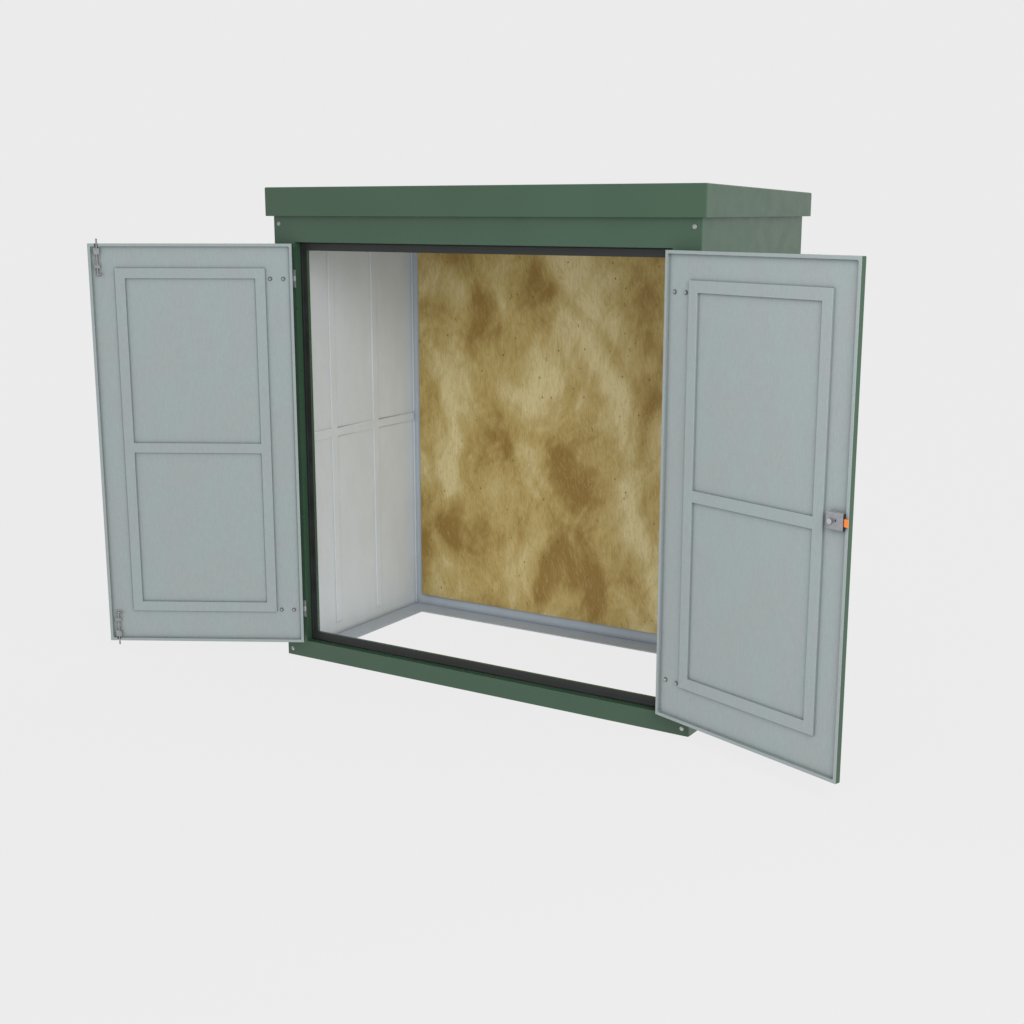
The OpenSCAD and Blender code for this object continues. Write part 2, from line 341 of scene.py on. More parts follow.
    def piece(self, name: str, finishes: Sequence["Finish"], replaces: Iterable[str] = (),
              body: str = "enclosure", place: Matrix | None = None) -> None:
        """Makes the finished piece, at the origin, with its place in its mesh.

        Args:
            name: the piece's name.
            finishes: its materials.
            replaces: the frame nodes it stands for.
            body: the body it rides on.
            place: where it goes, if it was made in a frame of its own.
        """
        if place is not None:
            self.move(place)
        for f in self.bm.faces:
            f.smooth = True
        mesh = bpy.data.meshes.new(name)
        self.bm.to_mesh(mesh)
        self.bm.free()
        mesh.set_sharp_from_angle(angle=CREASE)
        for finish in finishes:
            mesh.materials.append(finish.material())
        obj = shown(name, mesh)
        obj.modifiers.new("Flat faces", "WEIGHTED_NORMAL").keep_sharp = True
        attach(obj, body)
        if replaces:
            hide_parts(*replaces)
        log.info("%s on %s: %d faces", name, body, len(mesh.polygons))


def shown(name: str, data: bpy.types.ID) -> bpy.types.Object:
    """Puts a mesh, a light or a camera in the scene.

    Args:
        name: the object's name.
        data: the mesh, light or camera.

    Returns:
        The object.
    """
    obj = bpy.data.objects.new(name, data)
    bpy.context.scene.collection.objects.link(obj)
    return obj


def only(kind: type, parts: Iterable[object]) -> list:
    """The vertices, edges or faces out of an operator's mixed result."""
    return [part for part in parts if isinstance(part, kind)]


def parallel(edge: BMEdge, axis: int) -> bool:
    """True for an edge that runs along an axis, 0 to 2."""
    way = (edge.verts[1].co - edge.verts[0].co).normalized()
    return abs(way[axis]) > 0.98


def rectangle(half: float, low: float, high: float, y: float, ease: float = 0.0) -> list[Point]:
    """The corners of an upright rectangle about the middle plane, eased out all round."""
    x, a, b = half + ease, low - ease, high + ease
    return [(-x, y, a), (x, y, a), (x, y, b), (-x, y, b)]


def facing(point: Point, way: Point) -> Matrix:
    """The place of something whose own Z points a given way from a point."""
    turn = Vector(way).to_track_quat("Z", "Y").to_matrix().to_4x4()
    return Matrix.Translation(point) @ turn


def corners(low: Vector, high: Vector, inset: float) -> list[Pair]:
    """The x and z of four points set in from the corners of a box's face."""
    return [(x, z) for x in (low.x + inset, high.x - inset) for z in (low.z + inset, high.z - inset)]


def top_at_back(node: str) -> float:
    """The height of a sloping node's top at its very back.

    Args:
        node: the node's name.

    Returns:
        The height.
    """
    verts = frame["nodes"][node].data.vertices
    back = max(v.co.y for v in verts)
    return max(v.co.z for v in verts if v.co.y > back - WELD)


# ---- Finishes ----


def paint(red: int, green: int, blue: int) -> Colour:
    """A paint chart's 0 to 255 colour, as the linear colour that a shader takes."""
    parts = [c / 255 for c in (red, green, blue)]
    return tuple(c / 12.92 if c <= 0.04045 else ((c + 0.055) / 1.055) ** 2.4 for c in parts)


class Graph:
    """One material's nodes."""

    def __init__(self, name: str) -> None:
        """Makes the material with its shader and its position input.

        Args:
            name: the material's name.
        """
        self.material = bpy.data.materials.new(name)
        self.material.use_nodes = True
        self.tree = self.material.node_tree
        self.tree.nodes.clear()
        self.shader = self.node("ShaderNodeBsdfPrincipled")
        output = self.node("ShaderNodeOutputMaterial")
        self.tree.links.new(self.shader.outputs["BSDF"], output.inputs["Surface"])
        self.place = self.node("ShaderNodeTexCoord").outputs["Object"]

    def node(self, kind: str, inputs: dict[str | int, object] | None = None,
             **settings: object) -> Node:
        """Adds a node.

        Args:
            kind: its type.
            inputs: for each of its sockets, a number or the socket that feeds it.
            settings: the node's own options.

        Returns:
            The node.
        """
        made = self.tree.nodes.new(kind)
        for name, value in settings.items():
            setattr(made, name, value)
        for key, value in (inputs or {}).items():
            self.feed(made.inputs[key], value)
        return made

    def feed(self, socket: NodeSocket, value: object) -> None:
        """Links a socket to another, or sets its number or colour.

        Args:
            socket: the socket to feed.
            value: the other socket, a number or a colour.
        """
        if isinstance(value, NodeSocket):
            self.tree.links.new(value, socket)
        elif socket.type == "RGBA":
            socket.default_value = (*value, 1.0)
        else:
            socket.default_value = value

    def stretched(self, scale: Point, turn: Point = (0, 0, 0),
                  place: NodeSocket | None = None) -> NodeSocket:
        """Stretches a pattern.

        Args:
            scale: how many features there are to the metre, along each axis.
            turn: how the pattern is turned.
            place: the position to start from, if not the surface's own.

        Returns:
            The position that the pattern is drawn at.
        """
        source = place or self.place
        if any(turn):
            inputs = {"Vector": source, "Rotation": turn}
            source = self.node("ShaderNodeVectorRotate", inputs, rotation_type="EULER_XYZ").outputs[0]
        return self.node("ShaderNodeMapping", {"Vector": source, "Scale": scale}).outputs[0]

    def noise(self, scale: float, detail: float = 2.0, place: NodeSocket | None = None,
              rough: float = 0.5, distortion: float = 0.0) -> NodeSocket:
        """Soft noise from 0 to 1, with so many features to the metre."""
        inputs = {"Vector": place or self.place, "Scale": scale, "Detail": detail,
                  "Roughness": rough, "Distortion": distortion}
        return self.node("ShaderNodeTexNoise", inputs).outputs[0]

    def spread(self, value: NodeSocket, low: float, high: float, to_low: float = 0.0,
               to_high: float = 1.0) -> NodeSocket:
        """Maps a range of a value to another, smoothly, and holds it at the ends."""
        inputs = {0: value, 1: low, 2: high, 3: to_low, 4: to_high}
        return self.node("ShaderNodeMapRange", inputs, interpolation_type="SMOOTHSTEP",
                         clamp=True).outputs[0]

    def math(self, operation: str, a: object, b: object = 0.0) -> NodeSocket:
        """The result of a sum on two values."""
        return self.node("ShaderNodeMath", {0: a, 1: b}, operation=operation).outputs[0]

    def grey(self, value: NodeSocket) -> NodeSocket:
        """A grey as light as a value."""
        return self.node("ShaderNodeCombineColor", {0: value, 1: value, 2: value}).outputs[0]

    def mix(self, factor: object, a: object, b: object, how: str = "MIX") -> NodeSocket:
        """Blends one colour into another.

        Args:
            factor: how much of the second colour there is.
            a: the first colour.
            b: the second colour.
            how: the way in which they blend.

        Returns:
            The blended colour.
        """
        made = self.node("ShaderNodeMix", data_type="RGBA", blend_type=how)
        sockets = [s for s in made.inputs if s.enabled]
        for socket, value in zip(sockets, (factor, a, b)):
            self.feed(socket, value)
        return next(s for s in made.outputs if s.enabled)

    def bump(self, height: NodeSocket, depth: float, strength: float = 1.0,
             over: NodeSocket | None = None) -> NodeSocket:
        """A relief of so many metres, over another one if there is one."""
        inputs = {"Height": height, "Distance": depth, "Strength": strength}
        return self.node("ShaderNodeBump", inputs | ({"Normal": over} if over else {})).outputs[0]

    def finish(self, **sockets: object) -> Material:
        """Feeds the shader's sockets, named with underscores.

        Args:
            sockets: for each of them, a number, a colour or the socket that feeds it.

        Returns:
            The material.
        """
        for name, value in sockets.items():
            self.feed(self.shader.inputs[name.replace("_", " ")], value)
        return self.material


@dataclass(frozen=True)
class Finish:
    """A finish that many pieces can share."""

    name: str
    slot: str

    def material(self) -> Material:
        """The finish's material, made the first time it is asked for."""
        return bpy.data.materials.get(self.name) or self.mixed()

    def mixed(self) -> Material:
        """Makes the material."""
        raise NotImplementedError


@dataclass(frozen=True)
class Gelcoat(Finish):
    """Glossy pigmented resin, faintly wavy, as it comes out of a mould."""

    colour: Colour = (0.042, 0.092, 0.054)
    shade: Colour = (0.037, 0.083, 0.048)
    gloss: float = 0.3

    def mixed(self) -> Material:
        """Makes the material.

        Returns:
            The material.
        """
        g = Graph(self.name)
        cloud = g.spread(g.noise(1.7, 3.0), 0.3, 0.7)
        base = g.mix(cloud, self.colour, self.shade)
        wave = g.bump(g.noise(9.0, 1.0), 0.0006, 0.25)
        peel = g.bump(g.noise(420.0, 2.0), 0.00004, 0.5, wave)
        rough = g.spread(g.noise(14.0, 4.0), 0.3, 0.7, self.gloss - 0.04, self.gloss + 0.08)
        return g.finish(Base_Color=base, Roughness=rough, Normal=peel, IOR=1.5)


@dataclass(frozen=True)
class Flowcoat(Finish):
    """Brushed-on grey resin, with the glass cloth printing through in fine upright streaks."""

    colour: Colour = (0.310, 0.368, 0.368)
    warm: Colour = (0.322, 0.358, 0.362)
    streak: float = 0.05
    relief: float = 0.00012
    # how dark the painted shade in corners gets, and how far out it reaches
    crease_shade: float = 0.3
    crease_shade_reach: float = 0.028

    def mixed(self) -> Material:
        """Makes the material.

        Returns:
            The material.
        """
        g = Graph(self.name)
        cloth = g.noise(1.0, 3.0, g.stretched((420.0, 420.0, 34.0)), 0.6)
        weft = g.noise(1.0, 2.0, g.stretched((60.0, 60.0, 300.0)), 0.5)
        blotch = g.noise(9.0, 4.0, g.stretched((1.0, 1.0, 0.45)), 0.6)
        tone = g.mix(g.spread(blotch, 0.38, 0.62), self.colour, self.warm)
        shade = g.math("ADD", g.spread(cloth, 0.3, 0.7, 1 - self.streak, 1 + self.streak),
                       g.spread(weft, 0.3, 0.7, -0.4 * self.streak, 0.4 * self.streak))
        base = g.mix(1.0, tone, g.grey(shade), "MULTIPLY")
        # painted shade: the colour is darkened in corners and round fittings by ambient occlusion
        base = g.mix(1.0, base, self.painted_crease_shade(g), "MULTIPLY")
        sag = g.bump(g.noise(5.0, 2.0), 0.0012, 0.2)
        weave = g.math("ADD", cloth, g.math("MULTIPLY", weft, 0.5))
        rough = g.spread(blotch, 0.3, 0.7, 0.38, 0.52)
        return g.finish(Base_Color=base, Roughness=rough, Normal=g.bump(weave, self.relief, 0.6, sag),
                        IOR=1.5)

    def painted_crease_shade(self, g: Graph) -> NodeSocket:
        """Painted shade in corners, creases and round fittings: ambient occlusion made into a darkening
        grey.
        """
        made = g.node("ShaderNodeAmbientOcclusion", {"Distance": self.crease_shade_reach}, samples=8)
        return g.grey(g.spread(made.outputs["AO"], 0.45, 0.98, 1 - self.crease_shade, 1.0))


@dataclass(frozen=True)
class Rubber(Finish):
    """Matt black sponge rubber, with a fine skin."""

    colour: Colour = (0.014, 0.015, 0.015)
    worn: Colour = (0.024, 0.026, 0.026)

    def mixed(self) -> Material:
        """Makes the material.

        Returns:
            The material.
        """
        g = Graph(self.name)
        bloom = g.spread(g.noise(6.0, 5.0, rough=0.65), 0.35, 0.7)
        base = g.mix(bloom, self.colour, self.worn)
        skin = g.bump(g.noise(650.0, 3.0), 0.00008, 0.5)
        rough = g.spread(bloom, 0.0, 1.0, 0.55, 0.72)
        return g.finish(Base_Color=base, Roughness=rough, Normal=skin, IOR=1.5)


@dataclass(frozen=True)
class Plywood(Finish):
    """Varnished softwood plywood: cloudy figure, upright grain, specks and short ticks."""

    pale: Colour = paint(221, 205, 152)
    mid: Colour = paint(186, 162, 97)
    deep: Colour = paint(146, 114, 50)
    speck: Colour = paint(104, 86, 46)
    ply: Colour = paint(120, 92, 52)
    ply_thickness: float = 2.6 * MM

    def mixed(self) -> Material:
        """Makes the material.

        Returns:
            The material.
        """
        g = Graph(self.name)
        flow = self.flow(g)
        cloud = g.noise(1.0, 3.0, g.stretched((3.1, 1.0, 2.0), (0, 0.3, 0), flow), 0.5, 0.5)
        stroke = g.noise(1.0, 5.0, g.stretched((13.0, 1.0, 3.6), (0, -0.25, 0), flow), 0.6, 0.7)
        sweep = g.noise(1.0, 4.0, g.stretched((4.5, 1.0, 13.0), (0, 0.8, 0), flow), 0.6, 0.7)
        grain = g.noise(1.0, 4.0, g.stretched((330.0, 1.0, 9.0)), 0.65)
        fibre = g.noise(1.0, 4.0, g.stretched((95.0, 1.0, 26.0), (0, 0.25, 0), flow), 0.7, 0.5)
        figure = g.math("ADD", g.math("MULTIPLY", cloud, 0.70), g.math("MULTIPLY", stroke, 0.17))
        figure = g.math("ADD", figure, g.math("MULTIPLY", sweep, 0.13))
        wood = g.mix(g.spread(figure, 0.38, 0.52), self.pale, self.mid)
        wood = g.mix(g.spread(figure, 0.50, 0.62), wood, self.deep)
        wood = g.mix(g.spread(grain, 0.35, 0.75, 0.0, 0.3), wood, self.deep)
        wood = g.mix(g.spread(grain, 0.25, 0.45, 0.22, 0.0), wood, self.pale)
        wood = g.mix(g.spread(fibre, 0.48, 0.68, 0.0, 0.3), wood, self.deep)
        wood = g.mix(g.spread(fibre, 0.3, 0.5, 0.22, 0.0), wood, self.pale)
        knots = self.marks(g, (23.0, 1.0, 17.0), 0.2, 0.11, 0.62)
        ticks = self.marks(g, (62.0, 1.0, 13.0), 0.3, 0.16, 0.93)
        dots = self.marks(g, (75.0, 1.0, 60.0), 0.0, 0.18, 0.84)
        marks = g.math("MAXIMUM", g.math("MAXIMUM", knots, ticks), g.math("MULTIPLY", dots, 0.6))
        wood = self.edges(g, g.mix(marks, wood, self.speck))
        relief = g.bump(marks, 0.0004, -0.4, g.bump(grain, 0.00012, 0.5))
        rough = g.spread(figure, 0.35, 0.6, 0.5, 0.62)
        return g.finish(Base_Color=wood, Roughness=rough, Normal=relief, IOR=1.45)

    def flow(self, g: Graph) -> NodeSocket:
        """The position, pulled about so that the figure wanders.

        Args:
            g: the material's nodes.

        Returns:
            The position.
        """
        drift = g.node("ShaderNodeTexNoise", {"Vector": g.place, "Scale": 1.6, "Detail": 2.0})
        pull = g.node("ShaderNodeVectorMath", {0: drift.outputs[1], 1: (0.5, 0.5, 0.5)},
                      operation="SUBTRACT")
        pull = g.node("ShaderNodeVectorMath", {0: pull.outputs[0], "Scale": 0.24}, operation="SCALE")
        return g.node("ShaderNodeVectorMath", {0: g.place, 1: pull.outputs[0]}).outputs[0]

    def marks(self, g: Graph, scale: Point, lean: float, size: float, bare: float) -> NodeSocket:
        """Scattered small dark marks.

        Args:
            g: the material's nodes.
            scale: how many there may be to the metre, along each axis.
            lean: how far they lean over, in radians.
            size: the size of a mark, as a share of its cell.
            bare: the share of the cells that have none.

        Returns:
            Up to 0.8 in a mark, and 0 outside.
        """
        wander = g.noise(140.0, 2.0)
        cells = g.node("ShaderNodeTexVoronoi", {"Vector": g.stretched(scale, (0, lean, 0)), "Scale": 1.0})
        pick = g.node("ShaderNodeSeparateColor", {0: cells.outputs["Color"]}).outputs[0]
        away = g.math("ADD", cells.outputs["Distance"], g.math("MULTIPLY", wander, 0.12))
        mark = g.spread(away, size, size + 0.08, 0.8, 0.0)
        return g.math("MULTIPLY", g.math("GREATER_THAN", pick, bare), mark)

    def edges(self, g: Graph, wood: NodeSocket) -> NodeSocket:
        """Shows the crossed plies on the board's edges.

        Args:
            g: the material's nodes.
            wood: the colour of the board's faces.

        Returns:
            The colour of the whole board.
        """
        normal = g.node("ShaderNodeNewGeometry").outputs["Normal"]
        facing_y = g.node("ShaderNodeSeparateXYZ", {0: normal}).outputs[1]
        depth = g.node("ShaderNodeSeparateXYZ", {0: g.place}).outputs[1]
        layers = g.math("FRACT", g.math("MULTIPLY", depth, 1 / (2 * self.ply_thickness)))
        dark = g.math("GREATER_THAN", layers, 0.5)
        side = g.math("LESS_THAN", g.math("ABSOLUTE", facing_y), 0.5)
        return g.mix(g.math("MULTIPLY", side, g.math("MULTIPLY", dark, 0.8)), wood, self.ply)


@dataclass(frozen=True)
class Steel(Finish):
    """Stainless steel, brushed or cast dull, with faint smears."""

    colour: Colour = (0.58, 0.59, 0.59)
    dull: Colour = (0.44, 0.45, 0.46)
    gloss: float = 0.32
    grain: Point = (60.0, 60.0, 900.0)

    def mixed(self) -> Material:
        """Makes the material.

        Returns:
            The material.
        """
        g = Graph(self.name)
        brushed = g.noise(1.0, 3.0, g.stretched(self.grain), 0.6)
        smear = g.spread(g.noise(55.0, 4.0, rough=0.6), 0.35, 0.7)
        base = g.mix(smear, self.colour, self.dull)
        relief = g.bump(brushed, 0.00003, 0.5)
        rough = g.spread(brushed, 0.3, 0.7, self.gloss - 0.06, self.gloss + 0.12)
        return g.finish(Base_Color=base, Metallic=1.0, Roughness=rough, Normal=relief)


@dataclass(frozen=True)
class Enamel(Finish):
    """Stoved paint on a casting, slightly textured."""

    colour: Colour
    worn: Colour
    gloss: float = 0.42

    def mixed(self) -> Material:
        """Makes the material.

        Returns:
            The material.
        """
        g = Graph(self.name)
        wear = g.spread(g.noise(90.0, 5.0, rough=0.7), 0.42, 0.68)
        base = g.mix(wear, self.colour, self.worn)
        relief = g.bump(g.noise(700.0, 3.0), 0.00006, 0.6)
        rough = g.spread(g.noise(160.0, 3.0), 0.3, 0.7, self.gloss - 0.06, self.gloss + 0.1)
        return g.finish(Base_Color=base, Roughness=rough, Normal=relief, IOR=1.5)


@dataclass(frozen=True)
class Finishes:
    """All the finishes of the enclosure."""

    green: Finish = Gelcoat("green gelcoat", "green_gelcoat")
    grey: Finish = Flowcoat("grey flowcoat", "grey_flowcoat")
    # a lighter copy of the grey flowcoat for the inside walls, ribs, frame back and lid hollow: painted
    # light that makes up for the shade inside the enclosure
    inside: Finish = Flowcoat("grey flowcoat with painted light", "grey_flowcoat", (0.66, 0.705, 0.735),
                              (0.64, 0.68, 0.705), 0.02, 0.00008)
    # a lighter copy of the grey flowcoat for the rear wall's face and the base flange: painted light
    rear: Finish = Flowcoat("blue-grey flowcoat with painted light", "grey_flowcoat", (0.50, 0.56, 0.63),
                            (0.485, 0.54, 0.60), 0.02, 0.00008)
    rubber: Finish = Rubber("black rubber", "black_rubber")
    plywood: Finish = Plywood("varnished plywood", "plywood")
    steel: Finish = Steel("stainless steel", "stainless_steel")
    dull_steel: Finish = Steel("dull steel", "stainless_steel", (0.36, 0.37, 0.375),
                               (0.28, 0.29, 0.30), 0.42)
    rod_steel: Finish = Steel("rod steel", "stainless_steel", (0.45, 0.46, 0.465),
                              (0.35, 0.36, 0.37), 0.38)
    # near-black washers round the bright nuts, much darker than the stainless steel they stand for
    dark_steel: Finish = Enamel("near-black washer steel", "stainless_steel", (0.10, 0.11, 0.11),
                                (0.16, 0.17, 0.17))
    grey_steel: Finish = Enamel("dull plated steel", "stainless_steel", (0.25, 0.265, 0.27),
                                (0.33, 0.345, 0.35))
    lock_grey: Finish = Enamel("lock enamel", "lock_enamel", paint(141, 143, 148),
                               paint(152, 153, 158))
    black: Finish = Enamel("black enamel", "black_enamel", (0.012, 0.012, 0.013), (0.03, 0.03, 0.032))
    orange: Finish = Enamel("orange latch", "orange_latch", paint(236, 130, 50), paint(242, 150, 74))


FINISH = Finishes()


# ---- The enclosure's own mouldings ----


@dataclass
class Door:
    """One door: its own frame, and where that lies when it is open or shut.

    In the door's own frame x runs from the hinge edge, y from the outer face and z upwards.
    """

    hand: Hand
    edge_from_pin: float = 4.4 * MM
    face_from_pin: float = 10 * MM
    rod_depth: float = 18 * MM

    def __post_init__(self) -> None:
        """Reads the hinge from the frame."""
        joint = next(j for j in frame["joints"] if j["name"] == f"{self.hand.value}_door_hinge")
        self.pin = Vector(joint["pos_m"])
        self.pin.z = 0.0
        self.body = f"{self.hand.value}_door"
        self.place = self.at(math.radians(joint["range_deg"][1]))

    def at(self, angle: float) -> Matrix:
        """The place of the door's own frame with the door open by an angle.

        Args:
            angle: how far it is open, in radians.

        Returns:
            The place.
        """
        side = Matrix.Diagonal((-self.hand.sign, 1, 1, 1))
        pin = Matrix.Translation((-self.hand.sign * self.pin.x, self.pin.y, 0))
        hung = Matrix.Translation((self.edge_from_pin, self.face_from_pin, 0))
        return side @ pin @ Matrix.Rotation(-angle, 4, "Z") @ hung

    def box(self, node: str) -> tuple[Vector, Vector]:
        """A node's lowest and highest corners in the door's own frame.

        Args:
            node: the node's name.

        Returns:
            The two corners.
        """
        turn = self.place.inverted()
        points = [turn @ v.co for v in frame["nodes"][node].data.vertices]
        return (Vector(min(p[i] for p in points) for i in range(3)),
                Vector(max(p[i] for p in points) for i in range(3)))


@dataclass
class FrontFrame:
    """The green frame round the doorway, moulded in one with the step that the doors close on."""

    corner: float = 4 * MM
    lip: float = 2 * MM
    rod: float = 4 * MM
    keep_radius: float = 7 * MM
    keep_depth: float = 28 * MM

    def __post_init__(self) -> None:
        """Finds the recess round the doors and the clear doorway: half-width, low and high."""
        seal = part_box("door_seal")
        self.sill, self.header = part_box("front_sill"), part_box("front_header")
        self.land = seal[1].y
        self.recess = (seal[1].x, seal[0].z, seal[1].z)
        self.clear = (-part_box("left_front_jamb")[1].x, self.sill[1].z, self.header[0].z)

    def build(self) -> None:
        """Makes the frame."""
        half, front, back = self.sill[1].x, self.sill[0].y, self.sill[1].y
        top = self.header[1].z
        rear = rectangle(half, 0.0, top, back)
        shape = Shape().ring([
            rectangle(half, 0.0, top, front),
            rear[:2] + [(x, y, z - self.fall()) for x, y, z in rear[2:]],
            rectangle(*self.clear, back),
            rectangle(*self.clear, self.land),
            rectangle(*self.recess, self.land),
            rectangle(*self.recess, front),
        ])
        shape.soften(self.corner, 3, lambda e, m: parallel(e, 2) and abs(m.x) > half - MM
                     and m.y < front + MM)
        shape.soften(self.lip, 2, lambda e, m: self.is_lip(m))
        shape.coat(1, lambda f, c: f.normal.y > 0.9 and c.y > back - MM)
        x, y = self.keep_place()
        for end, way in ((1, -1), (2, 1)):
            shape.drill((x, y, self.recess[end]), (0, 0, way), self.keep_radius, self.keep_depth)
        shape.piece("front_frame", [FINISH.green, FINISH.inside],
                    ["front_sill", "front_header", "left_front_jamb", "right_front_jamb"])

    def fall(self) -> float:
        """How far the walls' sloping top drops over the frame's depth.

        Returns:
            The drop.
        """
        front, back = self.header[0].y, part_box("rear_wall")[1].y
        slope = (self.header[1].z - top_at_back("rear_wall")) / (back - front)
        return slope * (self.sill[1].y - front)

    def is_lip(self, p: Vector) -> bool:
        """True for a point on one of the doorway's two lips."""
        spans = [abs(p.x) < half + MM and low - MM < p.z < high + MM
                 for half, low, high in (self.clear, self.recess)]
        return spans[0] or spans[1] and p.y < self.sill[0].y + MM

    def keep_place(self) -> Pair:
        """Where the tower bolts go into the sill and the header.

        Returns:
            The x and y of their middle line.
        """
        door = Door(Hand.LEFT)
        outer = door.box("upper_tower_bolt_rod")[1].x
        centre = door.at(0.0) @ Vector((outer - self.rod, door.rod_depth, 0))
        return centre.x, centre.y


@dataclass
class Shell:
    """The walls, their ribs, the flange under them and the lid."""

    corner: float = 12 * MM
    wall: float = 5 * MM
    flange_edge: float = 1.5 * MM
    rib_edge: float = 6 * MM
    lid_edge: float = 5 * MM
    skirt_edge: float = 1.2 * MM

    def build(self) -> None:
        """Makes the pieces."""
        self.walls()
        self.ribs()
        self.flange()
        self.lid()

    def bay(self, outer: Pair, inner: Pair, front: float, low: float, height: float) -> Shape:
        """A solid that runs down one side, across the back and up the other side.

        Args:
            outer: half its width outside, and how far back it reaches.
            inner: half its width inside, and how far back its inside reaches.
            front: where its two ends are.
            low: its lower face.
            height: its height.

        Returns:
            The solid.
        """
        (wide, back), (span, rear) = outer, inner
        plan = [(-wide, front), (-wide, back), (wide, back), (wide, front),
                (span, front), (span, rear), (-span, rear), (-span, front)]
        return Shape().drawn([(x, y, low) for x, y in plan], (0, 0, height))

    def walls(self) -> None:
        """Makes the two side walls and the rear wall in one."""
        low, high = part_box("left_wall")
        front, back, half, wall = low.y, high.y, -low.x, self.wall
        shape = self.bay((half, back), (half - wall, back - wall), front, 0.0, high.z + 0.1)
        shape.soften(self.corner, 4, lambda e, m: parallel(e, 2) and m.y > back - MM)
        shape.soften(self.corner - wall, 4, lambda e, m: parallel(e, 2)
                     and abs(m.y - back + wall) < MM
                     and abs(m.x) > half - 2 * wall)
        bm = shape.bm
        up = Vector((0, high.z - top_at_back("left_wall"), back - front)).normalized()
        cut = bmesh.ops.bisect_plane(bm, geom=bm.verts[:] + bm.edges[:] + bm.faces[:],
                                     plane_co=(0, front, high.z), plane_no=up, clear_outer=True)
        bmesh.ops.edgeloop_fill(bm, edges=only(BMEdge, cut["geom_cut"]))
        bmesh.ops.recalc_face_normals(bm, faces=bm.faces)
        middle = Vector((0, (front + back) / 2, 1))

        def inside(f: BMFace, c: Vector) -> bool:
            """True for an upright face that looks into the enclosure."""
            inner = abs(c.x) < half - WELD and c.y < back - WELD
            return inner and abs(f.normal.z) < 0.5 and f.normal.dot(middle - c) > 0

        shape.coat(1, inside)
        shape.coat(2, lambda f, c: f.normal.y < -0.9 and c.y > back - 2 * wall)
        shape.piece("wall_moulding", [FINISH.green, FINISH.inside, FINISH.rear],
                    ["left_wall", "right_wall", "rear_wall"])

    def ribs(self) -> None:
        """Makes the ribs moulded on the insides of the side walls."""
        for side in Hand:
            node = f"{side.value}_wall_ribs"
            wall = max(abs(v.x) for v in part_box(node))
            shape = Shape.of_node(node)
            shape.soften(self.rib_edge, 3, lambda e, m: abs(m.x) < wall - MM and e.is_convex)
            shape.piece(f"{side.value}_wall_rib_moulding", [FINISH.inside], [node])

    def flange(self) -> None:
        """Makes the flange under the walls in one."""
        low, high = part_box("left_base_flange")
        inner = (-high.x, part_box("rear_base_flange")[0].y)
        shape = self.bay((-low.x, high.y), inner, low.y, low.z, high.z - low.z)
        shape.soften(self.flange_edge, 2, lambda e, m: m.z > high.z - WELD and e.is_convex
                     and m.y > low.y + MM)
        shape.piece("base_flange", [FINISH.rear],
                    ["left_base_flange", "right_base_flange", "rear_base_flange"])

    def lid(self) -> None:
        """Makes the lid, green outside and grey underneath."""
        low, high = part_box("lid")
        shape, skin = Shape.of_node("lid"), 0.9 * self.wall

        def outer(e: BMEdge, m: Vector) -> bool:
            """True for an edge of the lid's outside, above its rim."""
            edge = abs(m.x) > high.x - MM or m.y < low.y + MM or m.y > high.y - MM
            return e.is_convex and edge and m.z > low.z + MM

        def hollow(f: BMFace, c: Vector) -> bool:
            """True for a face of the lid's hollow."""
            inner = abs(c.x) < high.x - skin and low.y + skin < c.y < high.y - skin
            return inner and c.z > low.z + MM and f.normal.z < 0.5

        shape.soften(self.lid_edge, 3, outer)
        shape.soften(self.skirt_edge, 2, lambda e, m: m.z < low.z + WELD and e.is_convex)
        shape.coat(1, hollow)
        shape.piece("lid_moulding", [FINISH.green, FINISH.inside], ["lid"])


@dataclass
class Backboard:
    """The plywood board on the rear wall."""

    edge: float = 1 * MM

    def build(self) -> None:
        """Makes the board."""
        shape = Shape().block(*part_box("backboard"), self.edge)
        shape.piece("plywood_backboard", [FINISH.plywood], ["backboard"])


@dataclass
class DoorSeal:
    """The rubber strip round the doorway: a flat band with a soft bead along its outer side."""

    band: float = 1.6 * MM
    bead: float = 9 * MM
    inset: float = 3 * MM
    edge: float = 0.7 * MM

    def build(self) -> None:
        """Makes the strip."""
        low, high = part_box("door_seal")
        back, crest, face = high.y, low.y, high.y - self.band
        near, far = self.inset, self.inset + self.bead
        steps = [(0.0, back), (0.0, face), (near, face), (near + 0.2 * self.bead, crest),
                 (near + 0.8 * self.bead, crest), (far, face)]
        loops = [rectangle(high.x, low.z, high.z, y, -inwards) for inwards, y in steps]
        gap = FrontFrame().clear
        shape = Shape().ring(loops + [rectangle(*gap, face), rectangle(*gap, back)])
        shape.soften(self.edge, 2, lambda e, m: m.y < face + WELD)
        shape.piece("rubber_door_seal", [FINISH.rubber], ["door_seal"])


@dataclass
class CornerBolts:
    """The four small socket-headed bolts in the corners of the front frame."""

    inset: float = 7.5 * MM
    washer: float = 8.5 * MM
    head: float = 6 * MM
    socket: float = 2.4 * MM

    def build(self) -> None:
        """Makes the four bolt heads with their washers."""
        low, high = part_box("frame_corner_bolts")
        w, h, s, rise = self.washer, self.head, self.socket, high.y - low.y
        profile = [(0, 0), (w, 0), (w, 0.8 * MM), (w - 0.5 * MM, 1.2 * MM), (h, 1.2 * MM),
                   (h, 2.4 * MM), (0.8 * h, rise - 0.4 * MM), (0.55 * h, rise), (s, rise),
                   (s, 1.6 * MM), (0, 1.6 * MM)]
        shape = Shape()
        for x, z in corners(low, high, self.inset):
            shape.turned(profile, facing((x, high.y, z), (0, -1, 0)), 28)
        shape.piece("corner_bolt_heads", [FINISH.steel], ["frame_corner_bolts"])


# ---- The doors ----


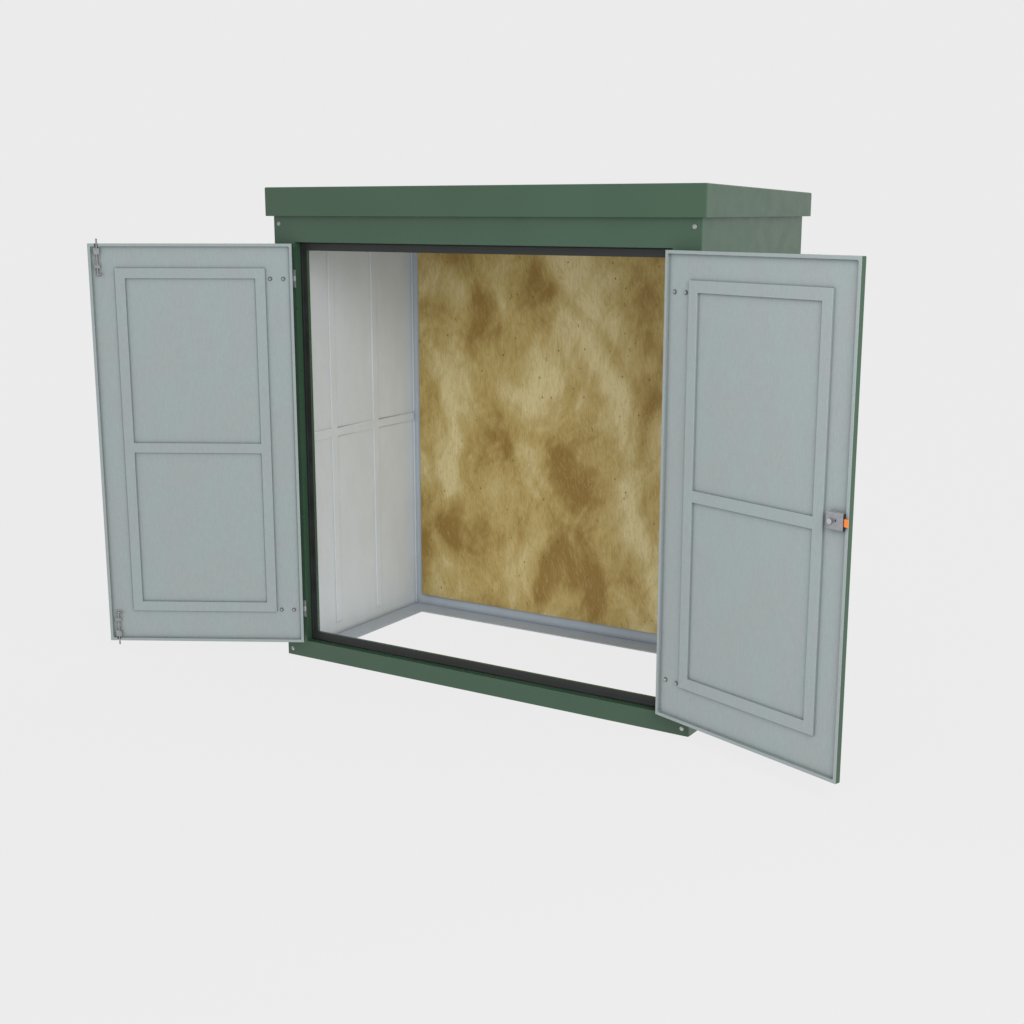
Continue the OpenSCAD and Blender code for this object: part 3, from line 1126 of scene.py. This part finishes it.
@dataclass
class DoorPart:
    """Something that a door carries, worked in the door's own frame."""

    door: Door

    def copy(self, node: str) -> tuple[Shape, Vector, Vector]:
        """A node's shape, and its lowest and highest corners."""
        return Shape.of_node(node, self.door.place), *self.door.box(node)

    def fit(self, shape: Shape, name: str, finish: Finish, *replaces: str, body: str = "") -> None:
        """Makes a piece of one finish, on the door unless another body is named."""
        shape.piece(name, [finish], replaces, body or self.door.body, self.door.place)


@dataclass
class DoorPanel(DoorPart):
    """A door's green skin, grey lining and ribs."""

    skin_edge: float = 3 * MM
    lip_edge: float = 1.6 * MM
    rim_edge: float = 0.8 * MM
    tray_corner: float = 6 * MM
    rib_edge: float = 1.6 * MM
    margin: float = 5 * MM

    def build(self) -> None:
        """Makes the three pieces."""
        self.skin()
        self.lining()
        self.ribs()

    def skin(self) -> None:
        """Makes the outer moulding."""
        node = f"{self.door.body}_skin"
        shape, low, high = self.copy(node)

        def outside(e: BMEdge, m: Vector) -> bool:
            """True for an edge of the door's outside."""
            upright = parallel(e, 1) and (abs(m.x - low.x) < MM or abs(m.x - high.x) < MM)
            return m.y < low.y + WELD or upright and e.is_convex and e.calc_length() > 20 * MM

        shape.soften(self.skin_edge, 3, outside)
        shape.coat(1, lambda f, c: f.normal.y > 0.5 and c.y < high.y - MM)
        shape.piece(f"{node}_moulding", [FINISH.green, FINISH.grey], [node], self.door.body,
                    self.door.place)

    def lining(self) -> None:
        """Makes the grey tray inside the rim."""
        node = f"{self.door.body}_lining"
        shape, low, high = self.copy(node)
        floor = self.door.box(f"{self.door.body}_ribs")[0].y
        edge = self.margin

        def within(p: Vector) -> bool:
            """True for a point well inside the door's outline."""
            return low.x + edge < p.x < high.x - edge and low.z + edge < p.z < high.z - edge

        def corner(e: BMEdge, m: Vector) -> bool:
            """True for a corner of the tray."""
            return parallel(e, 1) and floor - MM < m.y < high.y and not e.is_convex

        def lip(e: BMEdge, m: Vector) -> bool:
            """True for an edge of the rim's inside or the tray's floor, or of its round corners."""
            long, level = e.calc_length(), m.y > floor - MM and not parallel(e, 1)
            return level and (long < self.tray_corner or within(m) and long > 2 * self.tray_corner)

        shape.soften(self.tray_corner, 4, corner)
        shape.soften(self.lip_edge, 3, lip)
        shape.soften(self.rim_edge, 1, lambda e, m: m.y > high.y - WELD
                     and not within(m))
        self.fit(shape, f"{node}_moulding", FINISH.grey, node)

    def ribs(self) -> None:
        """Makes the raised ribs."""
        node = f"{self.door.body}_ribs"
        shape, _, high = self.copy(node)
        shape.soften(self.rib_edge, 3, lambda e, m: m.y > high.y - WELD or parallel(e, 1))
        self.fit(shape, f"{node}_moulding", FINISH.grey, node)


@dataclass
class Hinge(DoorPart):
    """One of a door's hinges: a leaf on the frame, a leaf on the door, and their bolts."""

    level: Level
    corner: float = 6 * MM
    edge: float = 0.6 * MM
    pin: float = 3 * MM
    bore: float = 3.06 * MM
    barrel: float = 5 * MM
    chamfer: float = 0.7 * MM
    joggle: float = 6.2 * MM
    gap: float = 0.4 * MM
    metal: float = 3.5 * MM
    dome: float = 9 * MM
    screw_in: float = 16 * MM
    screw_out: float = 35 * MM

    def __post_init__(self) -> None:
        """Names the hinge."""
        self.name = f"{self.door.hand.value}_{self.level.value}_hinge"

    def build(self) -> None:
        """Makes both leaves."""
        self.frame_leaf()
        self.door_leaf()

    def knuckle(self, shape: Shape, axis: Vector, low: float, high: float) -> None:
        """Adds one length of the barrel, bored for the pin.

        Args:
            shape: the leaf it belongs to.
            axis: where the pin stands.
            low: its lower end.
            high: its upper end.
        """
        r, p, c = self.barrel, self.bore, self.chamfer
        profile = [(p, low), (r - c, low), (r, low + c), (r, high - c), (r - c, high), (p, high), (p, low)]
        shape.turned(profile, Matrix.Translation((*axis, 0)), 28)

    def frame_leaf(self) -> None:
        """Makes the leaf that is screwed to the front frame, with the pin."""
        node = f"{self.name}_frame_leaf"
        low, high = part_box(node)
        axis = Vector((abs(self.door.pin.x), self.door.pin.y))
        far = max(abs(low.x), abs(high.x))
        third = (high.z - low.z) / 6 + self.gap
        middle = (high.z + low.z) / 2
        face = high.y - self.metal
        shape = Shape().plate((axis.x + self.barrel - 2 * MM, face, low.z), (far, high.y, high.z),
                              self.corner, self.edge)
        for a, b in ((low.z, middle - third), (middle + third, high.z)):
            self.knuckle(shape, axis, a, b)
            shape.block((axis.x, face, a + MM), (axis.x + self.barrel, high.y, b - MM), self.edge)
        tip = 0.8 * MM
        pin = [(0, low.z), (self.pin, low.z), (self.pin, high.z - tip), (self.pin - tip, high.z),
               (0, high.z)]
        shape.turned(pin, Matrix.Translation((*axis, 0)), 20)
        for x in (axis.x + self.screw_out, far - self.screw_in):
            for z in (low.z + self.screw_in, high.z - self.screw_in):
                shape.screw(ScrewHead.HINGE, facing((x, face, z), (0, -1, 0)))
        shape.piece(f"{node}_steel", [FINISH.dull_steel], [node],
                    place=Matrix.Diagonal((self.door.hand.sign, 1, 1, 1)))

    def door_leaf(self) -> None:
        """Makes the leaf on the door's outer face, with the bolts' domed heads."""
        node = f"{self.name}_door_leaf"
        low, high = self.door.box(node)
        axis = Vector((-self.door.edge_from_pin, -self.door.face_from_pin))
        third = self.third()
        middle = (high.z + low.z) / 2
        shape = Shape().plate((MM, -self.metal, low.z), (high.x, 0, high.z), self.corner, self.edge)
        shape.block((axis.x, -self.joggle, middle - third + MM), (4 * MM, 0, middle + third - MM),
                    self.edge)
        self.knuckle(shape, axis, middle - third, middle + third)
        r, rim, rise = self.dome, 0.5 * MM, 2.6 * MM
        profile = [(0, 0), (r, 0), (r, rim)]
        profile += [(r * math.cos(a), rim + rise * math.sin(a)) for a in (0.4, 0.8, 1.2)]
        profile.append((0, rim + rise))
        bolts = self.door.box(f"{self.door.hand.value}_hinge_bolts")
        for x in (bolts[0].x + r, bolts[1].x - r):
            shape.turned(profile, facing((x, -self.metal, middle), (0, -1, 0)), 28)
        self.fit(shape, f"{node}_steel", FINISH.steel, node)

    def third(self) -> float:
        """Half the height of the door leaf's knuckle.

        Returns:
            The half height.
        """
        turn = self.door.place.inverted()
        points = [turn @ v.co for v in frame["nodes"][f"{self.name}_door_leaf"].data.vertices]
        near = [p.z for p in points if p.x < -self.door.edge_from_pin]
        return (max(near) - min(near)) / 2


@dataclass
class HingeNuts(DoorPart):
    """The washers and nuts of the hinge bolts, inside a door."""

    washer: float = 9 * MM
    washer_rise: float = 1.5 * MM
    nut: float = 5.8 * MM
    stud: float = 4 * MM
    stud_past_nut: float = 3.2 * MM

    def build(self) -> None:
        """Makes the four washers, and the four nuts with the ends of their bolts."""
        node = f"{self.door.hand.value}_hinge_bolts"
        low, high = self.door.box(node)
        w, rise, s, tall = self.washer, self.washer_rise, self.stud, high.y - low.y
        washer = [(0, 0), (w, 0), (w, 1.0 * MM), (w - 0.6 * MM, rise), (0, rise)]
        stud = [(0, 0), (s, 0), (s, tall - 0.7 * MM), (s - 0.8 * MM, tall), (0, tall)]
        angles = [i * math.tau / 6 for i in range(6)]
        hexagon = [(self.nut * math.cos(a), self.nut * math.sin(a), rise) for a in angles]
        washers, nuts = Shape(), Shape()
        for x, z in corners(low, high, w):
            place = facing((x, low.y, z), (0, 1, 0))
            washers.turned(washer, place, 28)
            nut = Shape().drawn(hexagon, (0, 0, tall - self.stud_past_nut))
            nuts.add(nut.soften(0.6 * MM, 1), place)
            nuts.turned(stud, place, 20)
        self.fit(washers, f"{node}_washers", FINISH.dark_steel)
        self.fit(nuts, f"{node}_nuts", FINISH.steel, node)


@dataclass
class TowerBolt(DoorPart):
    """A tower bolt: a plate with two bent guides, and a rod with a turned-up handle."""

    level: Level
    metal: float = 1.5 * MM
    corner: float = 4 * MM
    rod: float = 4 * MM
    cast_edge: float = 1.6 * MM
    screw_side: float = 8 * MM
    screws_down: Point = (38 * MM, 58 * MM, -14 * MM)
    collar: float = 5.6 * MM
    handle_in: float = 4.6 * MM
    handle: float = 3.5 * MM
    handle_sides: int = 16
    bend: float = 26 * MM
    turn: float = math.radians(45)
    tail: float = 3 * MM

    def __post_init__(self) -> None:
        """Measures the bolt in its own frame, whose z runs out past the door's edge."""
        self.name = f"{self.level.value}_tower_bolt"
        rod, plate = self.door.box(f"{self.name}_rod"), self.door.box(f"{self.name}_plate")
        end, way = (1, 1) if self.level is Level.UPPER else (0, -1)
        edge = self.door.box(f"{self.door.body}_skin")[end].z
        origin = Vector(((plate[0].x + plate[1].x) / 2, plate[0].y, edge))
        self.place = self.door.place @ Matrix.Translation(origin) @ Matrix.Diagonal((1, 1, way, 1))
        self.half = (plate[1].x - plate[0].x) / 2
        self.start = way * (edge - plate[end].z)
        self.end = self.start + plate[1].z - plate[0].z
        self.out = way * (rod[end].z - edge)
        self.inner = self.out - (rod[1].z - rod[0].z)
        self.depth = self.door.rod_depth - plate[0].y

    def build(self) -> None:
        """Makes the plate and the rod."""
        self.plate()
        self.sliding()

    def plate(self) -> None:
        """Makes the plate, its guides and its screws."""
        node = f"{self.name}_plate"
        shape = Shape.of_node(node, self.place)
        shape.soften(self.corner, 4, lambda e, m: parallel(e, 1) and m.y < self.metal
                     and abs(m.x) > self.half - MM)
        shape.soften(self.cast_edge, 2, lambda e, m: e.is_convex and m.y > self.metal + MM
                     and abs(m.x) > self.rod + MM)
        for down in self.screws_down:
            z = -down - (self.start if down > 0 else self.end)
            for x in (-self.screw_side, self.screw_side):
                shape.screw(ScrewHead.BOLT, facing((x, self.metal, z), (0, 1, 0)), 18)
        shape.piece(f"{node}_steel", [FINISH.grey_steel], [node], self.door.body, self.place)

    def sliding(self) -> None:
        """Makes the rod, its collar and its handle."""
        node = f"{self.name}_rod"
        r, end, out = self.rod, self.inner, self.out
        profile = [(0, end), (0.6 * r, end), (r, end + 0.4 * r), (r, out - 2.5 * MM),
                   (0.72 * r, out - 0.6 * MM), (0.4 * r, out), (0, out)]
        shape = Shape().turned(profile, Matrix.Translation((0, self.depth, 0)), 24)
        hole, wide, level = r - 0.2 * MM, self.collar, end + self.handle_in
        collar = [(hole, 0), (wide, 0.5 * MM), (wide, 6.5 * MM), (hole, 7 * MM), (hole, 0)]
        shape.turned(collar, Matrix.Translation((0, self.depth, level - 3.5 * MM)), 24)
        shape.add(self.lever(Vector((0, self.depth, level))))
        shape.piece(f"{node}_steel", [FINISH.rod_steel], [node], self.name, self.place)

    def lever(self, start: Vector) -> Shape:
        """The handle: a round bar that sets off sideways, bends up and ends in a dome.

        Args:
            start: where it leaves the rod's middle line.

        Returns:
            The bar.
        """
        bar, r, sides = Shape(), self.handle, self.handle_sides
        bm, heading, axis = bar.bm, Vector((-1, 0, 0)), Vector((0, 0, -1))
        bmesh.ops.create_circle(bm, cap_ends=True, segments=sides, radius=r, matrix=facing(start, heading))
        made = bmesh.ops.spin(bm, geom=bm.faces[:] + bm.edges[:] + bm.verts[:], axis=axis, steps=10,
                              cent=start + Vector((0, self.bend, 0)), angle=self.turn)["geom_last"]
        way = Matrix.Rotation(self.turn, 3, axis) @ heading
        for grow, step in ((1.0, self.tail), (0.86, 0.5 * r), (0.5, 0.36 * r)):
            made = bmesh.ops.extrude_face_region(bm, geom=only(BMFace, made))["geom"]
            tip = only(BMVert, made)
            bmesh.ops.translate(bm, vec=way * step, verts=tip)
            middle = sum((v.co for v in tip), Vector()) / len(tip)
            bmesh.ops.scale(bm, vec=(grow,) * 3, space=Matrix.Translation(-middle), verts=tip)
        caps = [f for f in bm.faces if len(f.verts) == sides]
        buried = [f for f in caps
                  if all((f.calc_center_median() - end).length > r / 10 for end in (start, middle))]
        bmesh.ops.delete(bm, geom=buried, context="FACES_ONLY")
        bmesh.ops.recalc_face_normals(bm, faces=bm.faces)
        return bar


@dataclass
class RimLock(DoorPart):
    """The lock near the right door's free edge: case, faceplate, knob, latch and outside cylinder."""

    case_edge: float = 2.5 * MM
    strip_edge: float = 0.6 * MM
    screw_in: float = 8 * MM
    strip_screw_in: float = 7 * MM
    snib_at: Pair = (15 * MM, 3 * MM)
    snib: Pair = (2.2 * MM, 4 * MM)
    neck: float = 6.5 * MM
    neck_rise: float = 5 * MM
    slope: float = 3.6 * MM
    plug: float = 6.5 * MM
    barrel: float = 11 * MM

    def build(self) -> None:
        """Makes the lock's pieces."""
        self.case()
        self.faceplate()
        self.knob()
        self.latch()
        self.cylinder()

    def case(self) -> None:
        """Makes the case with its screws and its snib."""
        node = "lock_case"
        shape, low, high = self.copy(node)

        def outer(e: BMEdge, m: Vector) -> bool:
            """True for an edge of the case that isn't on the door or on the door's edge."""
            face = m.y > high.y - WELD or m.x < low.x + WELD or parallel(e, 1)
            return e.is_convex and face and m.x < high.x - MM and m.y > low.y + MM

        shape.soften(self.case_edge, 3, outer)
        for x, z in corners(low, high, self.screw_in):
            shape.screw(ScrewHead.CASE, facing((x, high.y, z), (0, 1, 0)))
        self.fit(shape, "lock_case_casting", FINISH.lock_grey, node)
        knob = self.door.box("lock_knob")
        centre = (knob[0] + knob[1]) / 2
        x, z = centre.x + self.snib_at[0], centre.z + self.snib_at[1]
        w, h = self.snib
        snib = Shape().block((x - w, high.y - MM, z - h), (x + w, high.y + 1.6 * MM, z + h), 0.8 * MM)
        self.fit(snib, "lock_snib", FINISH.black)

    def faceplate(self) -> None:
        """Makes the black strip on the edge of the case, with its two screws."""
        node = "lock_faceplate"
        shape, low, high = self.copy(node)
        shape.soften(self.strip_edge, 2, lambda e, m: m.x > high.x - WELD)
        for z in (low.z + self.strip_screw_in, high.z - self.strip_screw_in):
            shape.screw(ScrewHead.STRIP, facing((high.x, low.y + 6 * MM, z), (1, 0, 0)), 18)
        self.fit(shape, f"{node}_steel", FINISH.black, node)

    def knob(self) -> None:
        """Makes the fluted turning knob, with its pointer."""
        node = "lock_knob"
        low, high = self.door.box(node)
        r, tall, neck, step = (high.x - low.x) / 2, high.y - low.y, self.neck, self.neck_rise
        profile = [(0, 0), (neck, 0), (neck, step), (r - 1.2 * MM, step + 0.4 * MM),
                   (r, step + 1.6 * MM), (r, tall - 2.2 * MM), (r - 0.8 * MM, tall - 0.7 * MM),
                   (r - 2.2 * MM, tall), (0.45 * r, tall - 0.6 * MM), (0, tall - 0.9 * MM)]
        m = (low + high) / 2
        shape = Shape().turned(profile, facing((m.x, low.y, m.z), (0, 1, 0)), 48, 0.5 * MM)
        shape.block((m.x - 0.7 * MM, high.y - 1.2 * MM, m.z + 2 * MM),
                    (m.x + 0.7 * MM, high.y - 0.1 * MM, m.z + r - 2.4 * MM), 0.3 * MM)
        self.fit(shape, f"{node}_turned", FINISH.steel, node, body=node)

    def latch(self) -> None:
        """Makes the latch, sloped on the side that meets its keep."""
        node = "lock_latch"
        low, high = self.door.box(node)
        shape = Shape().block(low, high)
        shape.soften(self.slope, 1, lambda e, m: parallel(e, 2) and m.x > high.x - WELD
                     and m.y < low.y + WELD)
        self.fit(shape.soften(0.7 * MM), f"{node}_bolt", FINISH.orange, node, body=node)

    def cylinder(self) -> None:
        """Makes the keyed cylinder and its rose, on the door's outer face."""
        node = "lock_cylinder"
        low, high = self.door.box(node)
        m = (low + high) / 2
        r, tall, plug, barrel = (high.x - low.x) / 2, high.y - low.y, self.plug, self.barrel
        profile = [(0, 0), (r, 0), (r, 1.4 * MM), (r - 1.6 * MM, 2.8 * MM), (barrel + 0.6 * MM, 3 * MM),
                   (barrel, 3.2 * MM), (barrel, tall - MM), (barrel - MM, tall), (plug + 0.4 * MM, tall),
                   (plug + 0.2 * MM, tall - 0.5 * MM), (plug, tall - 0.1 * MM), (0, tall - 0.1 * MM)]
        place = facing((m.x, high.y, m.z), (0, -1, 0))
        self.fit(Shape().turned(profile, place, 40), f"{node}_rose", FINISH.steel, node)
        half, hole, sunk = 0.7 * MM, 1.5 * MM, tall - 0.6 * MM
        slot = Shape().block((-half, -4 * MM, sunk), (half, 3.4 * MM, tall), 0.2 * MM)
        slot.turned([(0, sunk), (hole, sunk), (hole, tall), (0, tall)],
                    Matrix.Translation((0, 2.8 * MM, 0)), 16)
        self.fit(slot.move(place), "lock_keyway", FINISH.black)


# ---- The studio ----


@dataclass
class Studio:
    """A pale seamless floor under even light, and the camera."""

    light: float = 0.8308
    floor_half: float = 30.0
    floor_share: float = 0.04
    key_power: float = 110.0
    key_size: float = 2.6
    key_place: Point = (3.9, -3.0, 3.0)
    key_target: Point = (0.2, 0.0, 1.0)
    camera_place: Point = (3.1506, -4.7691, 1.9855)
    camera_tilt: float = 77.963
    camera_turn: float = 31.858
    lens: float = 50.0
    sensor: float = 36.0

    def build(self) -> None:
        """Makes the floor, the light and the camera."""
        self.world()
        self.key()
        self.floor()
        self.camera()

    def world(self) -> None:
        """Lights the scene evenly from all round."""
        world = bpy.data.worlds.new("Studio light")
        world.use_nodes = True
        background = world.node_tree.nodes["Background"]
        background.inputs["Color"].default_value = (self.light, self.light, self.light, 1)
        bpy.context.scene.world = world
        bpy.context.scene.view_settings.view_transform = "Standard"

    def key(self) -> None:
        """Adds one large soft light, high in front and to the right."""
        data = bpy.data.lights.new("Key light", "AREA")
        data.shape, data.size, data.energy = "DISK", self.key_size, self.key_power
        light = shown("Key light", data)
        light.location = self.key_place
        way = Vector(self.key_target) - Vector(self.key_place)
        light.rotation_euler = way.to_track_quat("-Z", "Y").to_euler()
        light.visible_camera = light.visible_glossy = False

    def floor(self) -> None:
        """Lays a floor as bright as the light around it, which keeps a faint shadow."""
        bm = bmesh.new()
        bmesh.ops.create_grid(bm, x_segments=2, y_segments=2, size=self.floor_half)
        mesh = bpy.data.meshes.new("Studio floor")
        bm.to_mesh(mesh)
        bm.free()
        glow = self.light * (1 - self.floor_share)
        mesh.materials.append(Graph("studio floor").finish(
            Base_Color=(self.floor_share,) * 3, Roughness=1.0, IOR=1.0,
            Emission_Color=(glow,) * 3, Emission_Strength=1.0))
        shown("studio_floor", mesh)

    def camera(self) -> None:
        """Sets the camera in front and to the right, a little above the enclosure."""
        data = bpy.data.cameras.new("Camera")
        data.lens, data.sensor_width = self.lens, self.sensor
        camera = shown("Camera", data)
        camera.location = self.camera_place
        camera.rotation_euler = (math.radians(self.camera_tilt), 0.0, math.radians(self.camera_turn))
        bpy.context.scene.camera = camera


def main() -> None:
    """Builds the studio and every piece."""
    logging.basicConfig(level=logging.INFO, format="%(name)s: %(message)s")
    left, right = Door(Hand.LEFT), Door(Hand.RIGHT)
    parts = [Studio(), FrontFrame(), Shell(), Backboard(), DoorSeal(), CornerBolts()]
    for door in (left, right):
        parts += [DoorPanel(door), HingeNuts(door)]
        parts += [Hinge(door, level) for level in Level]
    parts += [TowerBolt(left, level) for level in Level]
    parts.append(RimLock(right))
    for part in parts:
        part.build()
        log.info("%s done", type(part).__name__)


if __name__ == "__main__":
    main()
